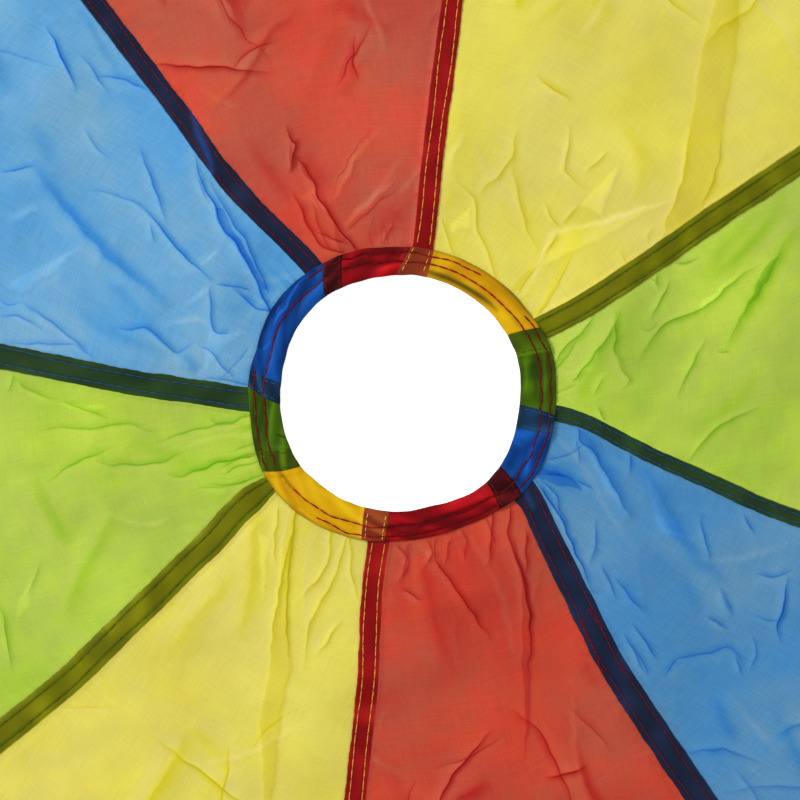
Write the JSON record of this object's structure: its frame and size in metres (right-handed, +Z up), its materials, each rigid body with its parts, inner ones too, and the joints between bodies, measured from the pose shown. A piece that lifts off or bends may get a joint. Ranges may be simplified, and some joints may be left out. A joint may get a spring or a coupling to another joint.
{
  "type": "play parachute",
  "caption": "Round flat play canopy of coloured cloth gores with an open centre hole, turned hems, flat-felled seams and hinged webbing loop handles.",
  "frame": {"origin": "middle of the centre hole, on the floor that the canopy lies on", "axes": "+Z up, square to the cloth; +X towards the middle of gore 4 (green), +Y towards the middle of gore 2 (red)"},
  "size_m": [1.978, 1.978, 0.0269],
  "materials": {
    "cloth_blue": "thin glossy taffeta",
    "cloth_red": "thin glossy taffeta",
    "cloth_yellow": "thin glossy taffeta",
    "cloth_green": "thin glossy taffeta",
    "thread_blue_red": "twisted sewing thread",
    "thread_red_yellow": "twisted sewing thread",
    "thread_yellow_green": "twisted sewing thread",
    "thread_green_blue": "twisted sewing thread",
    "thread_hem": "twisted sewing thread",
    "webbing": "woven strap"
  },
  "bodies": {
    "canopy": {"gore_1_blue": "cloth_blue", "gore_2_red": "cloth_red", "gore_3_yellow": "cloth_yellow", "gore_4_green": "cloth_green", "gore_5_blue": "cloth_blue", "gore_6_red": "cloth_red", "gore_7_yellow": "cloth_yellow", "gore_8_green": "cloth_green", "seam_1_thread_near": "thread_blue_red", "seam_1_thread_far": "thread_blue_red", "seam_2_thread_near": "thread_red_yellow", "seam_2_thread_far": "thread_red_yellow", "seam_3_thread_near": "thread_yellow_green", "seam_3_thread_far": "thread_yellow_green", "seam_4_thread_near": "thread_green_blue", "seam_4_thread_far": "thread_green_blue", "seam_5_thread_near": "thread_blue_red", "seam_5_thread_far": "thread_blue_red", "seam_6_thread_near": "thread_red_yellow", "seam_6_thread_far": "thread_red_yellow", "seam_7_thread_near": "thread_yellow_green", "seam_7_thread_far": "thread_yellow_green", "seam_8_thread_near": "thread_green_blue", "seam_8_thread_far": "thread_green_blue", "centre_hem_thread_outer_row": "thread_hem", "centre_hem_thread_inner_row": "thread_hem", "outer_hem_thread_inner_row": "thread_hem", "outer_hem_thread_outer_row": "thread_hem", "handle_1_tab": "webbing", "handle_1_stitch": "thread_hem", "handle_2_tab": "webbing", "handle_2_stitch": "thread_hem", "handle_3_tab": "webbing", "handle_3_stitch": "thread_hem", "handle_4_tab": "webbing", "handle_4_stitch": "thread_hem", "handle_5_tab": "webbing", "handle_5_stitch": "thread_hem", "handle_6_tab": "webbing", "handle_6_stitch": "thread_hem", "handle_7_tab": "webbing", "handle_7_stitch": "thread_hem", "handle_8_tab": "webbing", "handle_8_stitch": "thread_hem"},
    "handle_1": {"handle_1_loop": "webbing"},
    "handle_2": {"handle_2_loop": "webbing"},
    "handle_3": {"handle_3_loop": "webbing"},
    "handle_4": {"handle_4_loop": "webbing"},
    "handle_5": {"handle_5_loop": "webbing"},
    "handle_6": {"handle_6_loop": "webbing"},
    "handle_7": {"handle_7_loop": "webbing"},
    "handle_8": {"handle_8_loop": "webbing"}
  },
  "joints": [
    {"name": "handle_1_hinge", "type": "hinge", "parent": "canopy", "child": "handle_1", "pos_m": [-0.62013, 0.62013, 0.006], "axis": [0.7071, 0.7071, 0], "range_deg": [0, 155]},
    {"name": "handle_2_hinge", "type": "hinge", "parent": "canopy", "child": "handle_2", "pos_m": [0, 0.877, 0.006], "axis": [1, 0, 0], "range_deg": [0, 155]},
    {"name": "handle_3_hinge", "type": "hinge", "parent": "canopy", "child": "handle_3", "pos_m": [0.62013, 0.62013, 0.006], "axis": [0.7071, -0.7071, 0], "range_deg": [0, 155]},
    {"name": "handle_4_hinge", "type": "hinge", "parent": "canopy", "child": "handle_4", "pos_m": [0.877, 0, 0.006], "axis": [0, -1, 0], "range_deg": [0, 155]},
    {"name": "handle_5_hinge", "type": "hinge", "parent": "canopy", "child": "handle_5", "pos_m": [0.62013, -0.62013, 0.006], "axis": [-0.7071, -0.7071, 0], "range_deg": [0, 155]},
    {"name": "handle_6_hinge", "type": "hinge", "parent": "canopy", "child": "handle_6", "pos_m": [0, -0.877, 0.006], "axis": [-1, 0, 0], "range_deg": [0, 155]},
    {"name": "handle_7_hinge", "type": "hinge", "parent": "canopy", "child": "handle_7", "pos_m": [-0.62013, -0.62013, 0.006], "axis": [-0.7071, 0.7071, 0], "range_deg": [0, 155]},
    {"name": "handle_8_hinge", "type": "hinge", "parent": "canopy", "child": "handle_8", "pos_m": [-0.877, 0, 0.006], "axis": [0, 1, 0], "range_deg": [0, 155]}
  ]
}
